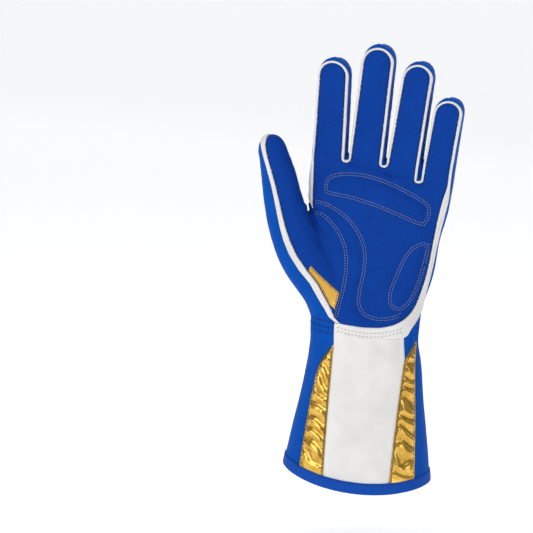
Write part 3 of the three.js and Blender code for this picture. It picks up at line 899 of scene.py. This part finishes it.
def seam_points(skin):
    """Places where each panel meets another, leaving out pads, which run on from the palm."""
    label = skin.faces.layers.int["panel"]
    names = list(PANELS)
    soft = {names.index(name) + 1 for name in (*PADS, "palm_panel")}
    found = {number: [] for number in range(1, len(names) + 1)}
    for vert in skin.verts:
        numbers = {face[label] for face in vert.link_faces}
        if len(numbers) < 2 or numbers <= soft:
            continue
        for number in numbers:
            found[number].append(vert.co.copy())
    return found


def distance_tree(points):
    """Finds the nearest of some points, or one far away where there are none."""
    points = points or [(0, 0, -1000)]
    tree = KDTree(len(points))
    for i, point in enumerate(points):
        tree.insert(point, i)
    tree.balance()
    return tree


# Relief of the cloth
def dip(value, centre, width):
    return np.exp(-((value - centre) / width) ** 2)


def waves(points, size, seed):
    return np.array([noise.noise(Vector(point) / size + Vector((seed, 0, 0))) for point in points.tolist()])


def undulation(points):
    """Gentle waviness that all the panels share."""
    cuff = 1 - ease(70, 120, points[:, 2])
    broad = waves(points * [1, 1, 0.6], 26, 3.1)
    return broad * (0.5 + 0.25 * cuff) + waves(points, 9, 8.7) * 0.15


def finger_share(points):
    """How far a point lies up its finger: 0 at the root, 1 where the tip starts to round."""
    gap, share = nearest_finger(points)
    return np.where(gap < 14, share, -1.0)


def palm_relief(points, seam):
    value = np.zeros(len(points))
    flat = hand_frame(points)[1]
    for outline in PADS.values():
        edge = signed(flat, rounded(outline))
        value -= 0.4 * dip(edge, -ROW_INSET, 0.55) + 0.4 * dip(edge, -ROW_INSET - ROW_GAP, 0.55)
        value += 1.35 * ease(-2.6, -7.5, edge)
    along = finger_share(points)
    for joint, depth in ((0.02, 0.55), (0.42, 0.45), (0.8, 0.3)):
        value -= depth * dip(along, joint, 0.03) * ease(0.5, 3, seam)
    x, z = points[:, 0], points[:, 2]
    near_web = dip(x, -37, 9) * dip(z, 177, 13)
    value += 0.55 * near_web * np.sin((x * 0.75 + z * 0.66) * 1.15)
    near_wrist = dip(z, 127, 5) * dip(x, 0, 26)
    value -= 0.35 * near_wrist
    return value


def pucker(points, seam, strength):
    """Small tucks that the seams pull into the cloth."""
    return strength * dip(seam, 1.6, 1.5) * waves(points, 2.6, 21.0)


def shirring(points):
    """Upright ridges where the elastic gathers the wrist."""
    x, y, z = points.T
    middle, half_width, half_depth = body_at(np.clip(z, 0, ROOT_HEIGHT))[:3]
    turn = np.arctan2(-y / half_depth, -(x - middle) / half_width)
    ripple = np.sin(turn * 34 + 1.3 * np.sin(z * 0.11)) * (0.75 + 0.25 * np.sin(turn * 13))
    return ripple * dip(z, 109, 9)


def cloth_relief(name, points, seam):
    x, z = points[:, 0], points[:, 2]
    value = pucker(points, seam, 0.22)
    if name in ("palm_panel", *PADS):
        value += palm_relief(points, seam)
    if name.startswith("hand_side"):
        value += 0.75 * shirring(points) * ease(0, 3, seam)
    if name in ("cuff_palm_panel", "cuff_back_panel"):
        value += 0.5 * dip(z, 102, 9) * np.sin(x * 0.42 + 0.4) * ease(0, 4, seam)
        value += 0.35 * waves(points * [1, 1, 0.35], 11, 5.0) * ease(0, 6, seam)
    if name == "back_panel":
        along = finger_share(points)
        for joint in (0.4, 0.46):
            value -= 0.3 * dip(along, joint, 0.018) * ease(0.5, 3, seam)
        value -= 0.5 * dip(z, 118, 6) * ease(1, 6, seam)
    return value


def foil_folds(name, points):
    """Height of crumpled foil, and how strongly shade is painted into its creases."""
    puff = 0.5 if name == "thumb_foil_patch" else 1.0
    height = np.zeros(len(points))
    crease = np.zeros(len(points))
    for i, point in enumerate(points.tolist()):
        spot = Vector(point)
        drift = noise.noise(spot / 13 + Vector((4, 0, 0))) * 6
        swell = math.sin((point[2] + point[0] * 0.5 + drift) * 2 * math.pi / 9)
        swell = math.copysign(abs(swell) ** 0.75, swell)
        pinch = noise.noise(spot / 5.5 + Vector((0, 6, 0)))
        near, far = noise.voronoi(spot / 8.5 + 0.3 * noise.noise_vector(spot / 7))[0][:2]
        facet = min(far - near, 0.4) / 0.4
        height[i] = puff * (0.85 * swell + 0.3 * pinch + 0.2 * facet)
        crease[i] = max(-swell * 0.9 - 0.35, (1 - facet) ** 2 * 0.3, 0)
    return height, np.clip(crease, 0, 1)


ROLL = 0.5


def roll_over(name, seam, height):
    """Height of a panel's edge, which turns down into the seam."""
    flush = -ROLL * np.exp(-(seam / 0.85) ** 2)
    if name in PIPED:
        t = np.clip(seam / 1.15, 0, 1)
        piped = -ROLL + 1.4 * np.sqrt(1 - (1 - t) ** 2) - 0.45 * ease(1.3, 2.4, seam)
        share = ease(CUFF_HEIGHT + 1, CUFF_HEIGHT + 8, height)
        return piped * share + 0.3 * flush * (1 - share)
    if name == "back_edge_strip":
        return -ROLL + 0.9 * np.sqrt(1 - (1 - np.clip(seam / 1.2, 0, 1)) ** 2)
    if name in FOILED or name == "palm_gold_insert":
        return -ROLL + 0.65 * ease(0, 0.9, seam)
    if name == "cuff_palm_panel":
        return flush * (1 - 0.7 * ease(CUFF_HEIGHT - 6, CUFF_HEIGHT - 2, height))
    return flush


def panel_mesh(skin, number, name, seams):
    """One panel cut out of the skin, with its relief, as a bmesh in millimetres."""
    piece = skin.copy()
    label = piece.faces.layers.int["panel"]
    outward = piece.verts.layers.float_vector["outward"]
    bmesh.ops.delete(piece, geom=[face for face in piece.faces if face[label] != number], context="FACES")
    if name in PIPED or name in FOILED:
        bmesh.ops.subdivide_edges(piece, edges=piece.edges, cuts=1, use_grid_fill=True)
    points = places_of(piece)
    tree = distance_tree(seams[number])
    seam = np.array([tree.find(vert.co)[2] for vert in piece.verts])
    above_tape = points[:, 2] - hem_height(points[:, 0]) - BINDING_HEIGHT
    rise = undulation(points) * 0.6 * ease(0, 8, above_tape) + roll_over(name, seam, points[:, 2])
    crease = piece.verts.layers.float.new("crease")
    if name in FOILED:
        height, fold = foil_folds(name, points)
        inner = ease(1.3, 4.0, seam) * ease(0.5, 6, above_tape)
        rise += (0.35 + height) * inner
        # The crease layer is painted shade: strong in the folds' creases and at the edge that sinks into
        # the seam.
        fold = np.maximum(fold * inner, 0.5 * (1 - ease(0.9, 1.7, seam)))
        for vert, amount in zip(piece.verts, fold.tolist()):
            vert[crease] = amount
    elif name not in PIPED:
        rise += cloth_relief(name, points, seam)
    for vert, amount in zip(piece.verts, rise.tolist()):
        vert.co += vert[outward].normalized() * amount
    if name in FOILED:
        soften(piece, [vert for vert in piece.verts if not vert.is_boundary], 8)
    return piece


# Looks
LOOKS = {}
THREADS = {
    "tan": ("knuckle_pad", (0.24, 0.24, 0.22), (0.36, 0.36, 0.34)),
    "brown": ("cuff_foil_palm_thumb", (0.1, 0.05, 0.02), (0.18, 0.1, 0.04)),
    "blue": ("hem_binding", (0.0005, 0.006, 0.07), (0.001, 0.014, 0.13)),
    "white": ("back_panel", (0.62, 0.61, 0.59), (0.74, 0.73, 0.71)),
    "grey": ("palm_edge_piping", (0.2, 0.2, 0.19), (0.32, 0.31, 0.3)),
}


class Look:
    """A material whose node tree is put together step by step."""

    def __init__(self, name, roughness, metallic=0.0):
        self.material = bpy.data.materials.new(name)
        self.material.use_nodes = True
        self.tree = self.material.node_tree
        self.shader = self.tree.nodes["Principled BSDF"]
        self.shade("Roughness", roughness)
        self.shade("Metallic", metallic)
        self.place = self.tree.nodes.new("ShaderNodeTexCoord").outputs["Object"]
        LOOKS[name] = self.material

    def put(self, value, socket):
        """Sets a socket to a number or a colour, or joins another node's output to it."""
        if isinstance(value, bpy.types.NodeSocket):
            self.tree.links.new(value, socket)
        else:
            socket.default_value = (*value, 1) if isinstance(value, tuple) else value

    def shade(self, name, value):
        self.put(value, self.shader.inputs[name])

    def node(self, kind, output, inputs, **settings):
        made = self.tree.nodes.new(kind)
        for key, value in settings.items():
            setattr(made, key, value)
        for key, value in inputs.items():
            self.put(value, made.inputs[key])
        return made.outputs[output]

    def grain(self, size, detail=3.0, kind="FBM"):
        """Noise with features of a size in millimetres."""
        inputs = {"Scale": 1 / (size * METRE), "Detail": detail, "Vector": self.place}
        return self.node("ShaderNodeTexNoise", "Fac", inputs, noise_type=kind)

    def cells(self, size, feature="F1"):
        inputs = {"Scale": 1 / (size * METRE), "Vector": self.place}
        return self.node("ShaderNodeTexVoronoi", "Distance", inputs, feature=feature)

    def painted(self, name):
        """A number that the mesh carries at its vertices."""
        return self.node("ShaderNodeAttribute", "Fac", {}, attribute_name=name)

    def ranged(self, value, low, high, to_low=0.0, to_high=1.0):
        inputs = {"From Min": low, "From Max": high, "To Min": to_low, "To Max": to_high, "Value": value}
        return self.node("ShaderNodeMapRange", "Result", inputs)

    def mix(self, share, first, second):
        return self.node("ShaderNodeMix", 2, {"Factor": share, 6: first, 7: second}, data_type="RGBA")

    def colour(self, value):
        self.shade("Base Color", value)

    def bump(self, *layers):
        """Fine relief from pairs of a height and its depth in millimetres."""
        lower = {}
        for height, depth in layers:
            inputs = {"Distance": depth * METRE, "Height": height, **lower}
            lower = {"Normal": self.node("ShaderNodeBump", "Normal", inputs)}
        self.shade("Normal", lower["Normal"])

    def dull(self, level):
        self.shade("Specular IOR Level", level)


def make_looks():
    suede = Look("blue suede", 0.92)
    patch = suede.ranged(suede.grain(11, 4), 0.35, 0.68)
    nap = suede.ranged(suede.grain(0.55, 5), 0.3, 0.7)
    deep = suede.mix(patch, (0.0025, 0.037, 0.25), (0.0035, 0.046, 0.31))
    suede.colour(suede.mix(nap, deep, (0.005, 0.056, 0.36)))
    suede.bump((suede.grain(0.5, 6), 0.14), (suede.grain(2.4, 3), 0.16))
    suede.dull(0.08)

    stretch = Look("blue stretch cloth", 0.62)
    knit = stretch.cells(0.55)
    shade = stretch.ranged(stretch.grain(14, 2), 0.3, 0.7)
    plain = stretch.mix(shade, (0.0015, 0.085, 0.45), (0.002, 0.1, 0.53))
    # Painted shade: the cloth is darker between the knit's loops, where its bump sinks.
    stretch.colour(stretch.mix(stretch.ranged(knit, 0.2, 0.75, 0, 0.4), plain, (0.001, 0.03, 0.24)))
    stretch.bump((stretch.ranged(knit, 0, 0.8, 1, 0), 0.1))
    stretch.dull(0.05)

    white = Look("white smooth leather", 0.42)
    cloudy = white.ranged(white.grain(16, 3), 0.3, 0.7)
    white.colour(white.mix(cloudy, (0.76, 0.745, 0.72), (0.84, 0.83, 0.81)))
    white.bump((white.cells(0.9, "DISTANCE_TO_EDGE"), 0.05), (white.grain(4.5, 3), 0.12))

    foil = Look("crinkled gold foil", 0.22, 1.0)
    fold = foil.painted("crease")
    fine = foil.grain(2.6, 4, "RIDGED_MULTIFRACTAL")
    gold = foil.mix(foil.ranged(foil.grain(6, 3), 0.3, 0.7), (0.62, 0.35, 0.05), (0.86, 0.54, 0.12))
    # Painted shade: the gold turns dark brown in the foil's creases and along its edges by the seams.
    crease_shaded_gold = foil.mix(foil.ranged(fold, 0.1, 0.9, 0, 0.7), gold, (0.16, 0.075, 0.012))
    foil.colour(crease_shaded_gold)
    foil.bump((fine, 0.02))

    insert = Look("smooth gold cloth", 0.45, 0.35)
    insert.colour(insert.mix(insert.grain(3, 3), (0.72, 0.4, 0.05), (0.8, 0.48, 0.08)))
    insert.bump((insert.cells(0.6), 0.06))

    binding = Look("blue binding tape", 0.7)
    rib = binding.painted("rib")
    # Painted shade: the tape is darker in the grooves between its ribs and lighter on their tops.
    binding.colour(binding.mix(rib, (0.0015, 0.055, 0.36), (0.002, 0.085, 0.48)))
    binding.bump((rib, 0.1), (binding.grain(0.4, 3), 0.05))
    binding.dull(0.16)

    lining = Look("plain lining", 0.9)
    lining.colour(lining.mix(lining.grain(0.8, 2), (0.42, 0.43, 0.45), (0.5, 0.51, 0.53)))
    lining.bump((lining.cells(0.9), 0.1))

    for name, (_, dark, light) in THREADS.items():
        thread = Look(name + " thread", 0.6)
        thread.colour(thread.mix(thread.grain(0.25, 2), dark, light))

    paper = Look("studio paper", 0.9)
    paper.colour((0.86, 0.86, 0.862))
    paper.shade("Emission Color", (1.0, 1.0, 1.0))
    paper.shade("Emission Strength", 0.4)


# Hem
def binding_mesh(around=720):
    """The tape folded over the hem, as a closed ring bent from a grid."""
    profile = [(-1.0, BINDING_HEIGHT), (0.0, BINDING_HEIGHT + 0.1)]
    for t in np.linspace(0, 1, 9):
        profile.append((BINDING_PROUD - 0.1 * (1 - t), BINDING_HEIGHT * (1 - t) + TAPE_FOLD * t))
    middle = (BINDING_PROUD - TAPE_INSIDE) / 2
    half = (BINDING_PROUD + TAPE_INSIDE) / 2
    half = (BINDING_PROUD + 2.9) / 2
    for turn in np.linspace(0, math.pi, 9)[1:-1]:
        profile.append((middle + half * math.cos(turn), TAPE_FOLD - TAPE_FOLD * math.sin(turn)))
    for t in np.linspace(0, 1, 7):
        profile.append((-TAPE_INSIDE, TAPE_FOLD + (BINDING_HEIGHT - TAPE_FOLD) * t))
    rows = len(profile)
    bm = bmesh.new()
    bmesh.ops.create_grid(bm, x_segments=around, y_segments=rows, size=1.0)
    rib = bm.verts.layers.float.new("rib")
    verts = list(bm.verts)
    spots = np.array([vert.co[:2] for vert in verts])
    turn = (spots[:, 0] + 1) * math.pi
    row = np.round((spots[:, 1] + 1) / 2 * rows).astype(int) % rows
    out, up = np.array(profile)[row].T
    out = out + 0.12 * np.sin(turn * 9 + 1) * np.sin(turn * 4)
    x = np.zeros(len(verts))
    for _ in range(5):
        z = hem_height(x) + up
        centre, half_width, half_depth, square = body_at(z)
        side = np.sign(np.cos(turn)) * np.abs(np.cos(turn)) ** (2 / square)
        x = centre + side * (half_width + out)
    fore = np.sign(np.sin(turn)) * np.abs(np.sin(turn)) ** (2 / square)
    y = -fore * (half_depth + out)
    for vert, place, angle in zip(verts, np.stack([x, y, z], -1).tolist(), turn.tolist()):
        vert.co = place
        vert[rib] = 0.5 + 0.5 * math.sin(angle * 230)
    bmesh.ops.remove_doubles(bm, verts=bm.verts, dist=1e-3)
    bmesh.ops.recalc_face_normals(bm, faces=bm.faces)
    return bm


# Stitches
def resampled(points, step, closed):
    """Even places along a line, with the line's direction there."""
    points = np.asarray(points, float)
    if closed:
        points = np.vstack([points, points[:1]])
    lengths = np.r_[0, np.cumsum(np.linalg.norm(np.diff(points, axis=0), axis=1))]
    count = max(int(round(lengths[-1] / step)), 1)
    spots = (np.arange(count) + 0.5) * lengths[-1] / count
    place, ahead, behind = (
        np.stack([np.interp(spots + shift, lengths, points[:, k]) for k in (0, 1)], 1)
        for shift in (0, 0.3, -0.3)
    )
    return zip(place, ahead - behind)


def add_stitch(bm, place, along, outward, length, width=STITCH_WIDTH):
    along = (along - outward * along.dot(outward)).normalized()
    side = outward.cross(along)
    turn = Matrix((along * length / 2, side * width / 2, outward * width * 0.42)).transposed().to_4x4()
    turn.translation = place + outward * 0.12
    bmesh.ops.create_uvsphere(bm, u_segments=6, v_segments=5, radius=1.0, matrix=turn)


def stitch_row(bm, surface, line, side, allowed=None, closed=False, step=STITCH_STEP, length=STITCH_LENGTH):
    """Sews along a line drawn in the front view, on the palm's side (1) or the back's (-1)."""
    row = bmesh.new()
    for (x, z), (dx, dz) in resampled(line, step, closed):
        hit = Vector((x, 0, z))
        for _ in range(2):
            start = Vector((x + turned_by(hit), -120.0 * side, z))
            hit, normal, face, _ = surface.ray_cast(start, Vector((0, side, 0)))
            if hit is None:
                break
        if hit is None or (allowed and not allowed(hit)):
            continue
        if normal.y * side > 0:
            normal = -normal
        if abs(normal.y) < 0.25:
            continue
        slope = -(normal.x * dx + normal.z * dz) / normal.y
        add_stitch(row, hit, Vector((dx, slope, dz)), normal, length)
    sewn = mesh_from("row", row)
    bm.from_mesh(sewn)
    bpy.data.meshes.remove(sewn)


def turned_by(place):
    """Sideways shift of a place on the glove's surface through the turn of the hand."""
    point = np.array([place[:]])
    return float(point[0, 0] - hand_frame(point)[1][0, 0]) if place.y else 0.0


def surface_of(meshes, *names):
    points = []
    polygons = []
    for name in names:
        bm = meshes[name]
        base = len(points)
        bm.verts.index_update()
        points.extend(vert.co.copy() for vert in bm.verts)
        polygons.extend([base + vert.index for vert in face.verts] for face in bm.faces)
    return BVHTree.FromPolygons(points, polygons)


def along_line(line):
    """An open line with its inner corners rounded."""
    return rounded([(*line[0][:2], 0.0), *line[1:-1], (*line[-1][:2], 0.0)])


def sew(meshes):
    """All the visible rows of stitches, one mesh for each thread."""
    threads = {name: bmesh.new() for name in THREADS}
    palm = surface_of(meshes, "palm_panel", *PADS)
    pad_rows = (ROW_INSET, ROW_INSET + ROW_GAP)
    for name in ("knuckle_pad", "heel_pad"):
        for row in pad_rows:
            stitch_row(threads["tan"], palm, rounded(inset(PADS[name], row)), PALM_SIDE, closed=True)
    inner_end = len(THUMB_INNER_LINE)
    for row in pad_rows:
        pad = inset(PADS["thumb_pad"], row)
        stitch_row(threads["tan"], palm, along_line(pad[:inner_end]), PALM_SIDE)
        stitch_row(threads["tan"], palm, along_line(pad[inner_end + 2:-2]), PALM_SIDE)
    stitch_row(threads["tan"], palm, SHORT_SEAM, PALM_SIDE)
    for name, outline in FOILS.items():
        side = PALM_SIDE if "palm" in name else BACK_SIDE
        stitch_row(
            threads["brown"], surface_of(meshes, name), rounded(inset(outline, 1.3)), side,
            lambda hit: hit.z > BINDING_HEIGHT + 1, closed=True, step=LONG_STEP, length=1.8)
    patch = surface_of(meshes, "thumb_foil_patch")
    for row in (1.1, 2.6):
        stitch_row(threads["brown"], patch, rounded(inset(FOIL_PATCH, row)), BACK_SIDE, closed=True)
    stitch_row(
        threads["brown"], surface_of(meshes, "palm_gold_insert"), rounded(inset(GOLD_INSERT, 1.0)),
        PALM_SIDE, lambda hit: hit.z > 127, closed=True)
    back = surface_of(meshes, "back_panel", "cuff_back_panel", "back_edge_strip")
    for lift in (1.6, 3.3):
        line = [(x, z + lift) for x, z, _ in BACK_SEAM[:-1]]
        stitch_row(threads["white"], back, line, BACK_SIDE, step=LONG_STEP)
    stitch_row(threads["white"], back, [(x + 1.6, z) for x, z, _ in BACK_STRIP], BACK_SIDE, step=LONG_STEP)
    band = surface_of(meshes, "palm_edge_piping", "cuff_palm_panel")
    for lift in (-2.1, 0.3):
        level = CUFF_HEIGHT + lift
        line = [(x, level + (0.005 if x < 0 else 0.0085) * x * x) for x in np.linspace(-20.5, 24, 15)]
        stitch_row(threads["grey"], band, line, PALM_SIDE, step=LONG_STEP)
    tape = surface_of(meshes, "hem_binding")
    hem = [(x, hem_height(x) + BINDING_HEIGHT - 1.1) for x in np.linspace(-50, 50, 60)]
    for side in (PALM_SIDE, BACK_SIDE):
        stitch_row(threads["blue"], tape, hem, side, step=2.6, length=1.9)
    elastic = surface_of(meshes, "hand_side_thumb")
    for level in (105.5, 109.5, 113.5):
        zigzag = [(-41 + 1.1 * i, level + (0.9 if i % 2 else -0.9)) for i in range(19)]
        for ends in zip(zigzag, zigzag[1:]):
            stitch_row(threads["blue"], elastic, ends, PALM_SIDE, step=2.4, length=1.7)
    return threads


# Turning meshes into pieces
def add_piece(name, bm, look, lining=None, wall=0.0):
    """Writes a finished mesh in metres as a piece of the glove."""
    bmesh.ops.scale(bm, vec=(METRE, METRE, METRE), verts=bm.verts)
    for face in bm.faces:
        face.smooth = True
    mesh = mesh_from(name, bm)
    piece = add_object(name, mesh)
    mesh.materials.append(LOOKS[look])
    if wall:
        mesh.materials.append(LOOKS[lining])
        thick = piece.modifiers.new("wall", "SOLIDIFY")
        thick.thickness = wall * METRE
        thick.offset = -1
        thick.use_even_offset = False
        thick.use_rim = True
        thick.material_offset = 1
        thick.material_offset_rim = 0
    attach(piece, "root")
    return piece


# Floor, backdrop, light and camera
FLOOR = -0.045
SWEEP_REACH = 2.2
SWEEP_BEND = 0.5
SWEEP_HALF_WIDTH = 4.0


def add_stage():
    bm = bmesh.new()
    bmesh.ops.create_grid(bm, x_segments=1, y_segments=40, size=1.0)
    for vert in bm.verts:
        t = (vert.co.y + 1) / 2
        if t < 0.5:
            place = (-SWEEP_REACH + 4 * SWEEP_REACH * t, FLOOR)
        else:
            turn = min((t - 0.5) / 0.3, 1) * math.pi / 2
            rise = max(t - 0.8, 0) * 12
            place = (
                SWEEP_REACH + SWEEP_BEND * math.sin(turn),
                FLOOR + SWEEP_BEND * (1 - math.cos(turn)) + rise,
            )
        vert.co = (vert.co.x * SWEEP_HALF_WIDTH, *place)
    for face in bm.faces:
        face.smooth = True
    sweep = add_object("studio_sweep", mesh_from("studio_sweep", bm))
    sweep.data.materials.append(LOOKS["studio paper"])


def add_light(name, place, aim_height, size, power):
    """An area light turned to a height on the glove's middle line."""
    lamp = bpy.data.lights.new(name, "AREA")
    lamp.shape = "RECTANGLE"
    lamp.size, lamp.size_y = size
    lamp.energy = power
    made = add_object(name, lamp)
    made.location = place
    made.rotation_euler = (Vector((0, 0, aim_height)) - Vector(place)).to_track_quat("-Z", "Y").to_euler()


def add_camera(azimuth, elevation, roll, distance, aim, lens):
    view = bpy.data.cameras.new("camera")
    view.lens = lens
    view.sensor_width = 36
    view.clip_start = 0.05
    view.clip_end = 20
    made = add_object("camera", view)
    turn, lift = math.radians(azimuth), math.radians(elevation)
    away = Vector((math.sin(turn) * math.cos(lift), -math.cos(turn) * math.cos(lift), math.sin(lift)))
    made.location = Vector(aim) + away * distance
    look = (-away).to_track_quat("-Z", "Y").to_matrix()
    made.rotation_euler = (look @ Matrix.Rotation(math.radians(roll), 3, "Z")).to_euler()
    bpy.context.scene.camera = made


LOOK_OF = {
    name: look
    for look, names in {
        "blue suede": ("palm_panel", *PADS),
        "white smooth leather": (
            *PIPED, "cuff_palm_panel", "back_edge_strip", "back_panel", "cuff_back_panel"),
        "crinkled gold foil": FOILED,
        "smooth gold cloth": ("palm_gold_insert",),
    }.items()
    for name in names
}

make_looks()
skin = glove_skin()
cut_panels(skin)
tidy_crumbs(skin)
seams = seam_points(skin)
meshes = {
    name: panel_mesh(skin, number, name, seams)
    for number, name in enumerate(PANELS, 1)
}
skin.free()
meshes["hem_binding"] = binding_mesh()
threads = sew(meshes)

for name, bm in meshes.items():
    if name == "hem_binding":
        piece = add_piece(name, bm, "blue binding tape")
    else:
        piece = add_piece(name, bm, LOOK_OF.get(name, "blue stretch cloth"), "plain lining", WALL)
    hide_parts(name)

for name, (home, _, _) in THREADS.items():
    piece = add_piece(name + "_stitches", threads[name], name + " thread")

add_stage()
add_light("key", (-1.0, -1.3, 0.9), 0.15, (1.3, 1.5), 13.5)
add_light("fill", (1.2, -1.2, 0.4), 0.15, (0.5, 1.6), 4)
add_light("rim", (0.5, 0.8, 1.3), 0.2, (0.8, 0.5), 4)
add_light("top", (0.0, -0.3, 1.8), 0.1, (1.4, 1.0), 4)
world = bpy.data.worlds.new("studio")
world.use_nodes = True
sky = world.node_tree.nodes["Background"]
sky.inputs["Color"].default_value = (0.95, 0.97, 1.0, 1)
sky.inputs["Strength"].default_value = 0.36
bpy.context.scene.world = world
bpy.context.scene.view_settings.view_transform = "Standard"
add_camera(4.3, 9.5, 4.6, 1.815, (-0.0725, 0.0, 0.1438), 180)
